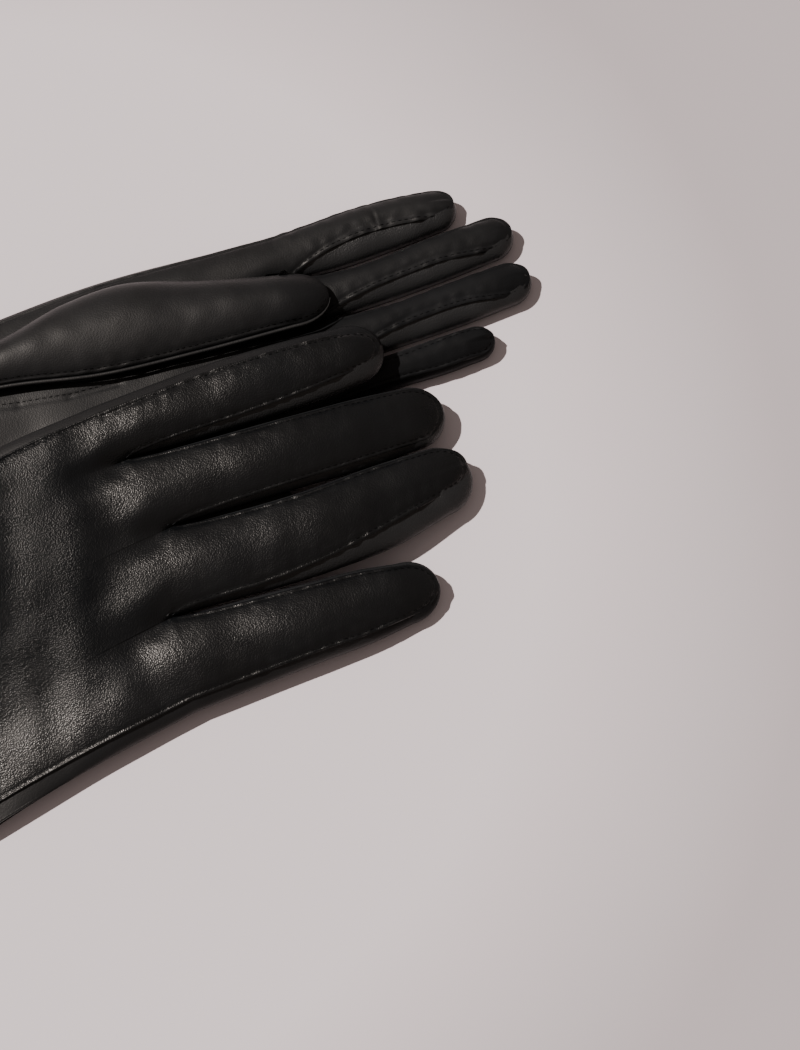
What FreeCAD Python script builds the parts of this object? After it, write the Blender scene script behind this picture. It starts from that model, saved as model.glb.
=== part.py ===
import FreeCAD, Part
import math
import os

os.makedirs("parts", exist_ok=True)

# A pair of lined leather dress gloves lying on a flat surface, in millimetres.
# The left glove lies on its back with the palm up and the thumb folded over the palm.
# The right glove lies back up, tilted so that its index side rests on the left glove.
# Both gloves point along +X. Plan positions below are in one layout frame, and the
# whole pair is moved at the end so that the origin is the middle of its footprint.

LEATHER = 0.8          # thickness of the outer leather
LINING = 0.5           # thickness of the knitted lining
LINING_GAP = 0.1       # air between leather and lining
HEM_DEPTH = 12.0       # depth of the leather turned in at the cuff
BEND_GAP = 0.4         # gap between two bodies at the line where the leather bends
CROTCH_WIDTH = 1.6     # width of the slit between two fingers at its closed end
TIP_SEGMENTS = 10      # straight pieces in a rounded tip
PANEL_SEAM_GAP = 0.1   # gap at the cross seam of the fingertip panel

LEFT_THICKNESS = 9.0   # left glove from its back to its palm, empty and pressed flat
RIGHT_THICKNESS = 10.0
RIGHT_TILT = 7.0       # degrees, raises the right glove's index side
RIGHT_TILT_LINE_Y = -61.0

FINGERS = ("index", "middle", "ring", "little")

# A finger is: bend (the point on its axis where it bends), heading (degrees from +X),
# droop (degrees that it hangs down at rest), length from the bend to the tip, widths
# (distance from the bend, half width) and cap (the length of the rounded tip).

LEFT = {
    "thickness": LEFT_THICKNESS,
    "index_side": [(-176, 107), (-155, 104), (-135, 104), (-98, 108), (-63, 109.3), (-30, 108)],
    "little_side": [(-176, 25), (-155, 28), (-100, 29), (-60, 33), (-20, 38.5), (0, 40.8)],
    "crotches": [(-5, 88.5), (-2, 71.5), (-8, 54.5)],
    "index": {"bend": (8, 96.5), "heading": -0.6, "droop": 0, "length": 46.5,
              "widths": [(0, 9.3), (22, 8.8), (37, 7.6)], "cap": 9.5},
    "middle": {"bend": (14, 78.4), "heading": 0, "droop": 0, "length": 54.6,
               "widths": [(0, 7.5), (30, 7.6), (44, 7.2)], "cap": 10.6},
    "ring": {"bend": (20, 62.2), "heading": -0.4, "droop": 0, "length": 48.4,
             "widths": [(0, 7.4), (25, 7.6), (38, 7.2)], "cap": 10.4},
    "little": {"bend": (17, 47.6), "heading": -3.0, "droop": 0, "length": 33,
               "widths": [(0, 6.0), (15, 6.2), (24, 5.8)], "cap": 9},
    "thumb": {"bend": (-62, 89.2), "heading": -10.4, "droop": 0, "length": 67.5,
              "widths": [(0, 15.0), (24, 12.4), (56, 9.4)], "cap": 11.5},
    "thumb_root": (-120, 88.5),
    "thumb_height": 8.1,
}

RIGHT = {
    "thickness": RIGHT_THICKNESS,
    "index_side": [(-226, 30), (-200, 36), (-170, 43.5), (-145, 53), (-112, 61.3), (-78, 64.5)],
    "little_side": [(-206, -61), (-165, -53), (-111.6, -41.7), (-77.6, -36), (-50, -35)],
    "crotches": [(-73.7, 44.5), (-66.8, 20), (-76, -6.5)],
    "index": {"bend": (-35, 54.6), "heading": -1, "droop": 3, "length": 49,
              "widths": [(0, 11.2), (25, 10.8), (38, 10.0)], "cap": 11},
    "middle": {"bend": (-22, 30.2), "heading": -2, "droop": 8, "length": 48,
               "widths": [(0, 11.0), (22, 10.2), (36, 9.2)], "cap": 12},
    "ring": {"bend": (-25, 4.5), "heading": 1.5, "droop": 6.5, "length": 52,
             "widths": [(0, 13.0), (22, 12.6), (40, 10.4)], "cap": 12},
    "little": {"bend": (-35, -22.4), "heading": -3.2, "droop": 3.8, "length": 40,
               "widths": [(0, 12.3), (16, 11.2), (28, 9.4)], "cap": 12},
    "thumb": {"bend": (-70, 16), "heading": 0, "droop": 0, "length": 42,
              "widths": [(0, 11.0), (18, 10.4), (32, 9.0)], "cap": 10},
    "thumb_root": (-116, 16),
    "thumb_height": 5.4,
}

THUMB_GAP = 0.4            # air between the palm and the thumb that lies against it
THUMB_ROOT_HALF_WIDTH = 4.0
THUMB_ROOT_HEIGHT = 1.2
THUMB_HOLE_MARGIN = 2.5    # leather of the thumb's base outside its hole in the palm
TIP_PANEL_START = 19.0     # distance from the index bend to the fingertip panel's seam


def heading_vectors(finger):
    """Unit vectors along the finger and to its left, in plan."""
    angle = math.radians(finger["heading"])
    along = (math.cos(angle), math.sin(angle))
    left = (-math.sin(angle), math.cos(angle))
    return along, left


def local_point(finger, distance, offset):
    """A plan point at a distance along the finger's axis and an offset to its left."""
    along, left = heading_vectors(finger)
    x = finger["bend"][0] + distance * along[0] + offset * left[0]
    y = finger["bend"][1] + distance * along[1] + offset * left[1]
    return (x, y)


def prism(points, low, high):
    """An upright solid on a closed plan outline."""
    corners = [FreeCAD.Vector(x, y, low) for x, y in points]
    corners.append(corners[0])
    face = Part.Face(Part.makePolygon(corners))
    return face.extrude(FreeCAD.Vector(0, 0, high - low))


def offset_outline(points, distances):
    """The outline with each edge moved to its left, the inside, by its own distance."""
    count = len(points)
    moved = []
    for i in range(count):
        moved.append(corner_between(points[i - 1], points[i], points[(i + 1) % count],
                                    distances[i - 1], distances[i]))
    return moved


def corner_between(before, corner, after, distance_in, distance_out):
    """Where two neighbouring edges cross after each has moved to its left."""
    in_x, in_y = unit(before, corner)
    out_x, out_y = unit(corner, after)
    turn = in_x * out_y - in_y * out_x
    if abs(turn) < 1e-6:
        return (corner[0] - in_y * distance_in, corner[1] + in_x * distance_in)
    dot = in_x * out_x + in_y * out_y
    slide = (distance_in * dot - distance_out) / turn
    return (corner[0] - in_y * distance_in + in_x * slide,
            corner[1] + in_x * distance_in + in_y * slide)


def unit(start, end):
    length = math.hypot(end[0] - start[0], end[1] - start[1])
    return (end[0] - start[0]) / length, (end[1] - start[1]) / length


def edge_distances(outline, closed_distance, open_distance):
    """One distance per edge: the open edges are the cuff and the bend lines."""
    return [open_distance if is_open else closed_distance for is_open in outline["open"]]


def inset(outline, distance, open_distance=0.0):
    return offset_outline(outline["points"], edge_distances(outline, distance, open_distance))


def wall(outline, first, last, low, high):
    """A strip of leather standing along the outline between two of its corners."""
    inner = inset(outline, LEATHER)
    outside = outline["points"][first:last + 1]
    inside = inner[first:last + 1]
    return prism(outside + inside[::-1], low, high)


def hollow(outline, skin, outer_inset, low, high):
    """A thin closed sleeve inside the outline that is open at the open edges."""
    outer = prism(inset(outline, outer_inset), low + outer_inset, high - outer_inset)
    depth = outer_inset + skin
    inner = prism(inset(outline, depth, -1.0), low + depth, high - depth)
    return outer.cut(inner)


def hand_outline(glove):
    """The hand with a short stub of each finger, anticlockwise from the little side's cuff."""
    points = list(glove["little_side"])
    is_open = [False] * len(points)
    fingers_upwards = FINGERS[::-1]
    crotches_upwards = glove["crotches"][::-1]
    marks = {}
    for i, name in enumerate(fingers_upwards):
        finger = glove[name]
        half = finger["widths"][0][1]
        points.append(local_point(finger, -BEND_GAP / 2, -half))
        points.append(local_point(finger, -BEND_GAP / 2, half))
        is_open += [True, False]
        marks[name] = len(points) - 1
        if i < len(crotches_upwards):
            x, y = crotches_upwards[i]
            points.append((x, y - CROTCH_WIDTH / 2))
            points.append((x, y + CROTCH_WIDTH / 2))
            is_open += [False, False]
    points += glove["index_side"][::-1]
    is_open += [False] * len(glove["index_side"])
    is_open[-1] = True
    return {"points": points, "open": is_open, "marks": marks}


def finger_outline(finger):
    """A finger beyond its bend line, anticlockwise from its right side at the bend."""
    distances = [max(distance, BEND_GAP / 2) for distance, half in finger["widths"]]
    halves = [half for distance, half in finger["widths"]]
    cap_start = finger["length"] - finger["cap"]
    right_side = [(d, -h) for d, h in zip(distances, halves)]
    left_side = [(d, h) for d, h in zip(distances, halves)][::-1]
    tip = []
    for step in range(1, TIP_SEGMENTS):
        angle = math.pi * step / TIP_SEGMENTS - math.pi / 2
        tip.append((cap_start + finger["cap"] * math.cos(angle), halves[-1] * math.sin(angle)))
    points = [local_point(finger, d, h) for d, h in right_side + tip + left_side]
    is_open = [False] * len(points)
    is_open[-1] = True
    tip_first = len(right_side) - 1
    tip_last = tip_first + len(tip) + 1
    return {"points": points, "open": is_open, "tip": (tip_first, tip_last)}


def layers(glove, palm_up):
    """The heights of the palm sheet, the back sheet and the walls between them."""
    top = glove["thickness"]
    high = (top - LEATHER, top)
    low = (0.0, LEATHER)
    between = (LEATHER, top - LEATHER)
    if palm_up:
        return high, low, between
    return low, high, between


def thumb_base_outline(glove):
    """The plan of the gusset that carries the thumb from its hole to its bend line."""
    thumb = glove["thumb"]
    half = thumb["widths"][0][1]
    x, y = glove["thumb_root"]
    root_low = (x, y - THUMB_ROOT_HALF_WIDTH)
    root_high = (x, y + THUMB_ROOT_HALF_WIDTH)
    bend_low = local_point(thumb, -BEND_GAP / 2, -half)
    bend_high = local_point(thumb, -BEND_GAP / 2, half)
    return {"points": [root_low, bend_low, bend_high, root_high],
            "open": [False, True, False, False]}


def ramp(points, start, root_rise, bend_rise):
    """A wedge on a four-cornered plan that rises from its root end to its bend end."""
    root_low, bend_low, bend_high, root_high = points
    root_face = upright_rectangle(root_low, root_high, start, start + root_rise)
    bend_face = upright_rectangle(bend_low, bend_high, start, start + bend_rise)
    return Part.makeLoft([root_face, bend_face], True, True)


def upright_rectangle(first, second, low, high):
    corners = [FreeCAD.Vector(first[0], first[1], low), FreeCAD.Vector(second[0], second[1], low),
               FreeCAD.Vector(second[0], second[1], high), FreeCAD.Vector(first[0], first[1], high)]
    return Part.makePolygon(corners + corners[:1])


def thumb_base(glove, palm_surface, away):
    """The thumb's base: a hollow wedge, open to its hole in the palm and at its bend line."""
    outline = thumb_base_outline(glove)
    rise = THUMB_GAP + glove["thumb_height"]
    outer = ramp(outline["points"], palm_surface, away * THUMB_ROOT_HEIGHT, away * rise)
    inner_plan = inset(outline, LEATHER, -1.0)
    below = -away * LEATHER
    inner = ramp(inner_plan, palm_surface + below, away * (THUMB_ROOT_HEIGHT - 0.1), away * rise)
    return outer.cut(inner)


def hand_pieces(side, glove, palm_up):
    """Every piece of the glove that doesn't bend with a finger."""
    palm, back, between = layers(glove, palm_up)
    outline = hand_outline(glove)
    count = len(outline["points"])
    little_corner = len(glove["little_side"])
    index_corner = outline["marks"]["index"]
    hole = inset(thumb_base_outline(glove), THUMB_HOLE_MARGIN, THUMB_HOLE_MARGIN)
    palm_sheet = prism(outline["points"], *palm).cut(prism(hole, palm[0] - 1, palm[1] + 1))
    little_wall = wall(outline, 0, little_corner, *between)
    index_wall = wall(outline, index_corner, count - 1, *between)
    pieces = {side + "_hand_back": prism(outline["points"], *back),
              side + "_hand_palm": palm_sheet.fuse([little_wall, index_wall]).removeSplitter()}
    neighbours = [("ring", "little"), ("middle", "ring"), ("index", "middle")]
    for upper, lower in neighbours:
        first = outline["marks"][lower]
        name = side + "_" + upper + "_" + lower + "_fourchette"
        pieces[name] = wall(outline, first, first + 3, *between)
    sleeve = hollow(outline, LINING, LEATHER + LINING_GAP, 0, glove["thickness"])
    facing = hollow(outline, LEATHER, LEATHER + LINING_GAP, 0, glove["thickness"])
    cuff = cuff_band(glove)
    pieces[side + "_hand_lining"] = sleeve.cut(cuff)
    pieces[side + "_cuff_hem"] = facing.common(cuff)
    palm_surface = palm[1] if palm_up else palm[0]
    away = 1 if palm_up else -1
    pieces[side + "_thumb_base"] = thumb_base(glove, palm_surface, away)
    return pieces


def cuff_band(glove):
    """A block over the last stretch of the cuff, as deep as its hem."""
    low_corner = glove["little_side"][0]
    high_corner = glove["index_side"][0]
    along_x, along_y = unit(low_corner, high_corner)
    reach = 5.0
    start = (low_corner[0] - reach * along_x, low_corner[1] - reach * along_y)
    end = (high_corner[0] + reach * along_x, high_corner[1] + reach * along_y)
    depth_x = HEM_DEPTH * along_y
    depth_y = -HEM_DEPTH * along_x
    plan = [(start[0] - depth_x, start[1] - depth_y), (start[0] + depth_x, start[1] + depth_y),
            (end[0] + depth_x, end[1] + depth_y), (end[0] - depth_x, end[1] - depth_y)]
    return prism(plan, -1, glove["thickness"] + 1)


def finger_pieces(side, glove, name, palm_up):
    """Every piece of one finger beyond its bend line."""
    finger = glove[name]
    palm, back, between = layers(glove, palm_up)
    outline = finger_outline(finger)
    last = len(outline["points"]) - 1
    tip_first, tip_last = outline["tip"]
    wall_first = 0 if name == "little" else tip_first
    wall_last = last if name == "index" else tip_last
    palm_piece = prism(outline["points"], *palm)
    palm_piece = palm_piece.fuse(wall(outline, wall_first, wall_last, *between)).removeSplitter()
    strips = []
    if name != "little":
        strips.append(wall(outline, 0, tip_first, *between))
    if name != "index":
        strips.append(wall(outline, tip_last, last, *between))
    stem = side + "_" + name
    pieces = {stem + "_back": prism(outline["points"], *back)}
    if name == "index":
        base_part, tip_part = split_at_panel_seam(finger, palm_piece, glove["thickness"])
        pieces[stem + "_palm"] = base_part
        pieces[stem + "_tip_panel"] = tip_part
    else:
        pieces[stem + "_palm"] = palm_piece
    ending = "_fourchettes" if len(strips) == 2 else "_fourchette"
    pieces[stem + ending] = Part.makeCompound(strips) if len(strips) == 2 else strips[0]
    pieces[stem + "_lining"] = hollow(outline, LINING, LEATHER + LINING_GAP, 0, glove["thickness"])
    return droop(pieces, finger)


def split_at_panel_seam(finger, piece, thickness):
    """The index palm leather ends at a cross seam, where the fingertip panel starts."""
    half = 20.0
    before = finger_block(finger, -half, TIP_PANEL_START - PANEL_SEAM_GAP / 2, half, thickness)
    after = finger_block(finger, TIP_PANEL_START + PANEL_SEAM_GAP / 2, finger["length"] + half,
                         half, thickness)
    return piece.common(before), piece.common(after)


def finger_block(finger, start, end, half, thickness):
    corners = [(start, -half), (end, -half), (end, half), (start, half)]
    return prism([local_point(finger, d, h) for d, h in corners], -1, thickness + 1)


def droop(pieces, finger):
    """Turn a finger down about the bottom of its bend line, as it hangs at rest."""
    if finger["droop"]:
        x, y = finger["bend"]
        left_x, left_y = heading_vectors(finger)[1]
        for shape in pieces.values():
            shape.rotate(FreeCAD.Vector(x, y, 0), FreeCAD.Vector(left_x, left_y, 0), finger["droop"])
    return pieces


def thumb_pieces(side, glove, palm_up):
    """The thumb beyond its bend line, lying against the palm."""
    height = glove["thumb_height"]
    low = glove["thickness"] + THUMB_GAP if palm_up else -THUMB_GAP - height
    outline = finger_outline(glove["thumb"])
    leather = prism(outline["points"], low, low + height)
    inner = prism(inset(outline, LEATHER, -1.0), low + LEATHER, low + height - LEATHER)
    return {side + "_thumb": leather.cut(inner),
            side + "_thumb_lining": hollow(outline, LINING, LEATHER + LINING_GAP, low, low + height)}


def glove_bodies(side, glove, palm_up):
    """The glove's rigid bodies, each a dictionary of its named pieces."""
    bodies = {side + "_hand": hand_pieces(side, glove, palm_up)}
    for name in FINGERS:
        bodies[side + "_" + name] = finger_pieces(side, glove, name, palm_up)
    bodies[side + "_thumb"] = thumb_pieces(side, glove, palm_up)
    return bodies


def tilt_right(shape):
    shape.rotate(FreeCAD.Vector(0, RIGHT_TILT_LINE_Y, 0), FreeCAD.Vector(1, 0, 0), RIGHT_TILT)


def pair_of_gloves():
    """Both gloves where they lie, and the move that puts the origin under their middle."""
    bodies = glove_bodies("left", LEFT, True)
    right_bodies = glove_bodies("right", RIGHT, False)
    for pieces in right_bodies.values():
        for shape in pieces.values():
            tilt_right(shape)
    bodies.update(right_bodies)
    every_shape = [shape for pieces in bodies.values() for shape in pieces.values()]
    box = Part.makeCompound(every_shape).BoundBox
    move = FreeCAD.Vector(-box.Center.x, -box.Center.y, -box.ZMin)
    for shape in every_shape:
        shape.translate(move)
    return bodies, move


BODIES, MOVE = pair_of_gloves()

for body_pieces in BODIES.values():
    for node, solid in body_pieces.items():
        solid.exportStep("parts/" + node + ".step")
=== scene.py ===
import math
import bpy
import numpy as np
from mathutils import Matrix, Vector
from mathutils.bvhtree import BVHTree


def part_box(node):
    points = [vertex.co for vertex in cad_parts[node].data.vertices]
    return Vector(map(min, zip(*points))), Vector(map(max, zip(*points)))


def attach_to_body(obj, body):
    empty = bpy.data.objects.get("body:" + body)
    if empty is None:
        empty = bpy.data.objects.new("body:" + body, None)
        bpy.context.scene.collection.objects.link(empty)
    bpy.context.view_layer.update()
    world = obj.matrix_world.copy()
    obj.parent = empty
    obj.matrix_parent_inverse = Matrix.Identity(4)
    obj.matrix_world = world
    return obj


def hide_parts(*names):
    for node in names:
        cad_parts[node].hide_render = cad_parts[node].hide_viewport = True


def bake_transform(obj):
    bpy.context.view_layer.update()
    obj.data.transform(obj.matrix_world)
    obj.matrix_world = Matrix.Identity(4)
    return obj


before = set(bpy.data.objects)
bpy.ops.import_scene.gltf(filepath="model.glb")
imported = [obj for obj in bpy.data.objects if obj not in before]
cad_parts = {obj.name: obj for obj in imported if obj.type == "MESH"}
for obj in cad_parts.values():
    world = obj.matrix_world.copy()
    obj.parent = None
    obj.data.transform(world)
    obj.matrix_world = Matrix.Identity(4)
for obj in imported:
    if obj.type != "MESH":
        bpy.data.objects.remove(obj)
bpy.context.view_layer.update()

# Lengths are in millimetres in the gloves' layout frame, which is the row frame moved
# in plan, and become metres in the row frame when a mesh is made.
MM = 0.001
LEATHER = 0.7            # thickness of the outer leather
LAP = 1.4                # how far a panel's edge lies over the leather beside it
LAP_DROP = 0.6           # how far the leather under a lap lies below the panel's surface
LINING = 0.5
LINING_DEPTH = 1.5       # from the leather's outer surface to the lining
HEM_DEPTH = 12.0         # depth of the leather turned in at the cuff
HEM_OFFSET = 0.75
STITCH_PITCH = 2.1
STITCH_LENGTH = 1.45
STITCH_RADIUS = 0.14
STITCH_INSET = 1.15      # from a panel's cut edge to its row of stitches
SEAM_INSET = 0.9         # the same in the seam round the thumb's base
LOWER_INSET = 1.2        # from the silhouette to a lower panel's cut edge
THUMB_INSET = 1.5        # the same for the upper leather of a thumb
TOP_POWER = 1.85         # roundness of the upper half of a section
BOTTOM_POWER = 4.0       # the lower half is flattened by what it lies on
HAND_EDGE_RADIUS = 12.0
EDGE_BLEND = 40.0        # distance over which the hand's edge takes a finger's radius
IN_HAND = -1e3           # distance along a finger given to rows that lie in the hand
NO_EDGE = 99.0           # distance to a cut edge given to points that have none
CROTCH_FLATNESS = 0.985  # how deep the panel dips where two fingers meet
THUMB_GAP = 0.4
TIP_PANEL_START = 19.0   # from the index finger's bend to the fingertip panel
TILT = math.radians(7.0)
TILT_LINE_Y = -61.0
LINING_SHORT_ROWS = 26   # rows by which a lining ends before the leather's tip
LINING_STRIDE = 2        # a lining has half the rows and columns of its leather
FINGERS = ("index", "middle", "ring", "little")
UPWARDS = FINGERS[::-1]

LEFT = {
    "side": "left", "palm_up": True, "thickness": 9.0, "middle_height": 4.0,
    "index_side": [(-176, 107), (-155, 104), (-135, 104), (-98, 108), (-63, 109.3), (-30, 107.2),
                   (-8, 105.4)],
    "little_side": [(-176, 25), (-155, 28), (-100, 29), (-60, 33), (-20, 38.5), (-6, 40.4)],
    "crotches": [(-5, 88.5), (-2, 71.5), (-8, 54.5)],
    "index": {"bend": (8, 96.5), "heading": -0.6, "droop": 0, "sway": -0.5, "roll": -0.5, "length": 46.5,
              "low_widths": [(0, 9.3), (22, 8.8), (37, 7.6)],
              "high_widths": [(0, 9.2), (14, 9.8), (26, 9.3), (37, 8.0)], "cap": 8.6, "cut": -9, "blend": 7,
              "insets": ([(-12, 5.0), (5, 7.2), (25, 6.2), (37, 3.6)],
                         [(-170, 2.6), (-40, 1.8), (0, 1.0), (37, 0.9)], 0.9)},
    "middle": {"bend": (14, 78.4), "heading": 0, "droop": 0, "sway": 1.1, "roll": 0.2, "length": 54.6,
               "low_widths": [(0, 7.5), (30, 7.6), (44, 7.2)],
               "high_widths": [(0, 7.6), (30, 8.4), (44, 8.4)], "cap": 8.6, "cut": -11, "blend": 8,
               "insets": ([(-14, 3.4), (12, 5.2), (30, 5.0), (44, 2.6)], [(0, 1.0), (44, 0.9)], 0.9)},
    "ring": {"bend": (20, 62.2), "heading": -0.4, "droop": 0, "sway": 0.9, "roll": 0.5, "length": 48.4,
             "low_widths": [(0, 7.4), (25, 7.6), (38, 7.2)],
             "high_widths": [(0, 7.5), (25, 8.0), (38, 8.0)], "cap": 8.6, "cut": -11, "blend": 8,
             "insets": ([(-14, 3.4), (10, 5.4), (26, 5.0), (38, 2.4)], [(0, 1.0), (38, 0.9)], 0.9)},
    "little": {"bend": (17, 47.6), "heading": -3.0, "droop": 0, "sway": 1.0, "roll": 1.1, "length": 33,
               "low_widths": [(0, 6.0), (15, 6.2), (24, 5.8)],
               "high_widths": [(0, 6.2), (15, 6.8), (24, 6.8)], "cap": 7.4, "cut": -11, "blend": 8,
               "insets": ([(-170, 3.0), (-20, 2.2), (0, 1.6), (24, 1.3)], [(0, 2.6), (24, 1.6)], 0.9)},
    "thumb": {"bend": (-62, 89.2), "heading": -10.4, "length": 67.5, "cap": 12,
              "lower": [(-138, 90), (-130, 86.2), (-118, 83.2), (-103, 81), (-72, 74), (-41, 70.8),
                        (-8, 68.6)],
              "upper": [(-138, 94), (-130, 96), (-118, 97), (-99, 97.6), (-77, 102.3), (-60, 103),
                        (-33, 95.3), (-5, 87)],
              "rise": [(-76, 0.3), (-64, 2.6), (-50, 5.4), (-36, 7.2), (-18, 8.3), (0, 8.9), (30, 8.6),
                       (67.5, 7.6)],
              "cut": -14, "blend": 9, "bend_height": 12.0},
}

RIGHT = {
    "side": "right", "palm_up": False, "thickness": 10.0, "middle_height": 4.4,
    "index_side": [(-226, 30), (-200, 36), (-170, 43.5), (-145, 53), (-112, 61.3), (-78, 64.5)],
    "little_side": [(-206, -61), (-165, -53), (-111.6, -41.7), (-79, -36.4)],
    "crotches": [(-73.7, 44.5), (-66.8, 20), (-76, -6.5)],
    "index": {"bend": (-35, 54.6), "heading": -1, "sway": 0.2, "droop": 3, "curl": 1.0, "length": 49,
              "high_widths": [(0, 11.2), (25, 10.8), (38, 10.0)],
              "low_widths": [(0, 11.8), (25, 11.4), (38, 10.2)], "cap": 11, "cut": -16, "blend": 12,
              "insets": ([(-30, 2.4), (0, 3.0), (25, 4.0), (38, 4.4)],
                         [(-180, 4.6), (-40, 4.0), (0, 3.6), (38, 3.2)], 1.6)},
    "middle": {"bend": (-22, 30.2), "heading": -2, "sway": 1.0, "droop": 8, "curl": 2.6, "length": 48,
               "low_widths": [(0, 12.0), (22, 11.9), (36, 11.0)],
               "cap": 12, "cut": -16, "blend": 12,
               "high_widths": [(0, 11.6), (22, 11.2), (36, 10.4)],
               "insets": ([(-30, 1.8), (0, 2.2), (22, 2.6), (36, 2.2)],
                          [(-30, 1.6), (0, 1.5), (36, 1.5)], 1.1)},
    "ring": {"bend": (-25, 4.5), "heading": 1.5, "sway": 0.8, "droop": 6.5, "curl": 1.2, "length": 52,
             "low_widths": [(0, 14.0), (22, 13.6), (40, 10.4)],
             "cap": 12, "cut": -16, "blend": 12,
             "high_widths": [(0, 13.4), (22, 13.4), (40, 12.6)],
             "insets": ([(-25, 2.2), (0, 4.2), (22, 6.8), (40, 6.6)],
                        [(-30, 1.6), (0, 1.4), (40, 1.4)], 1.1)},
    "little": {"bend": (-35, -22.4), "heading": -3.2, "sway": 0.8, "droop": 3.8, "curl": 0.2, "length": 40,
               "low_widths": [(0, 12.3), (16, 11.2), (28, 9.4)],
               "high_widths": [(0, 13.0), (16, 12.4), (28, 10.8)], "cap": 11.5, "cut": -16, "blend": 12,
               "insets": ([(-175, 7.2), (-120, 6.4), (-60, 4.6), (-20, 3.6), (28, 2.6)],
                          [(-30, 1.8), (0, 1.8), (28, 1.8)], 1.1)},
    "thumb": {"bend": (-70, 16), "heading": 0, "length": 42, "cap": 11,
              "lower": [(-130, 13.5), (-116, 10.5), (-98, 8.4), (-70, 5.5), (-50, 6), (-36, 7.4)],
              "upper": [(-130, 18), (-116, 22), (-98, 24), (-70, 26.6), (-50, 26.2), (-36, 24.6)],
              "rise": [(-60, 0.3), (-44, 2.0), (-28, 3.8), (-8, 5.6), (0, 5.9), (42, 5.6)],
              "cut": -12, "blend": 8, "bend_height": -3.0},
}

LEFT_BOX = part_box("left_hand_back")
SHIFT_X = LEFT_BOX[0].x / MM - LEFT["index_side"][0][0]
SHIFT_Y = LEFT_BOX[1].y / MM - max(y for x, y in LEFT["index_side"])


# ---------------------------------------------------------------- curves and fields

def smooth(knots):
    """A smooth curve y(x) through a few knots, level beyond its ends."""
    x = np.array([k[0] for k in knots], float)
    y = np.array([k[1] for k in knots], float)
    slope = np.gradient(y, x)

    def value(t):
        t = np.clip(np.asarray(t, float), x[0], x[-1])
        i = np.clip(np.searchsorted(x, t) - 1, 0, len(x) - 2)
        step = x[i + 1] - x[i]
        u = (t - x[i]) / step
        return (y[i] * (1 + 2 * u) * (1 - u) ** 2 + slope[i] * step * u * (1 - u) ** 2
                + y[i + 1] * u * u * (3 - 2 * u) + slope[i + 1] * step * u * u * (u - 1))
    return value


def path(points):
    """A smooth plan curve through points, as a function from 0 to 1 by length."""
    p = np.array(points, float)
    length = lengths(p) / lengths(p)[-1]
    fx = smooth(list(zip(length, p[:, 0])))
    fy = smooth(list(zip(length, p[:, 1])))
    return lambda t: np.stack([fx(t), fy(t)], -1)


def ease(value, start, end):
    """0 before start, 1 after end, and smooth between."""
    u = np.clip((value - start) / (end - start), 0, 1)
    return u * u * (3 - 2 * u)


def level(value):
    """The same value at every distance along a finger."""
    return lambda a: value + 0 * a


def lengths(points):
    """The distance along a line of points, from its first one to each."""
    return np.concatenate([[0], np.cumsum(np.linalg.norm(np.diff(points, axis=0), axis=1))])


def unit(vectors):
    return vectors / np.linalg.norm(vectors, axis=1)[:, None]


def crown(rho, power):
    """Height of a rounded section, 1 in its middle and 0 at its side, where rho is 1."""
    return (1 - np.clip(rho, 0, 1) ** power) ** (1 / power)


def ripple(x, y, seed, wave, count=10):
    """Smooth seeded unevenness of about unit size, with waves near a given length."""
    rng = np.random.default_rng(seed)
    total = np.zeros(np.broadcast(x, y).shape)
    for _ in range(count):
        angle = rng.uniform(0, 2 * math.pi)
        k = 2 * math.pi / (wave * rng.uniform(0.7, 1.5))
        phase = rng.uniform(0, 6.28)
        total += np.sin(k * (x * math.cos(angle) + y * math.sin(angle)) + phase)
    return total / math.sqrt(count)


def strokes(x, y, folds):
    """Height of soft folds. Each is its two ends, its half width and its height."""
    total = np.zeros(np.shape(x))
    for (x0, y0), (x1, y1), width, height in folds:
        dx, dy = x1 - x0, y1 - y0
        t = np.clip(((x - x0) * dx + (y - y0) * dy) / (dx * dx + dy * dy), 0, 1)
        away = np.hypot(x - x0 - t * dx, y - y0 - t * dy)
        total += height * np.exp(-(away / width) ** 2)
    return total


FOLDS = {
    "right": [((-86, 54), (-84, 24), 7.5, -0.9), ((-94, 4), (-85, -28), 7.5, -0.9)],
    "left": [((-110, 92), (0, 82), 9, -0.3), ((-150, 60), (-100, 62), 7, -0.8)],
}
# The back of the hand is highest at the knuckles and lies flatter towards the cuff.
BACK_PROFILE = smooth([(-226, -4.4), (-170, -4.8), (-145, -4.6), (-122, -2.8), (-101, -0.7), (-92, -0.25),
                       (-70, 0.0), (-40, 0.0)])
# Where the thumb's base is set into the left palm, with the groove's half width and height.
THUMB_SEAM = [(-143, 93), (-136, 86), (-126, 81.5), (-113, 78.3), (-100, 75.5), (-84, 72.6), (-68, 71.5)]
THUMB_GROOVE = (0.9, -0.35)


def top_relief(glove, x, y):
    """Soft unevenness of the upper surface, added to its smooth crown."""
    seed = 3 if glove["side"] == "right" else 8
    total = (strokes(x, y, FOLDS[glove["side"]]) + 0.16 * ripple(x, y, seed, 34)
             + 0.07 * ripple(x, y, seed + 1, 13))
    if glove["side"] == "right":
        total = total + BACK_PROFILE(x) * (1.35 - 1.05 * ease(y, -25, 30))
        total = total - 0.022 * (y + 12) * (1 - ease(x, -118, -84))
    else:
        for start, end in zip(THUMB_SEAM[:-1], THUMB_SEAM[1:]):
            total = np.minimum(total, total + strokes(x, y, [(start, end, *THUMB_GROOVE)]))
    return total


# ---------------------------------------------------------------- the plan of a glove

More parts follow.
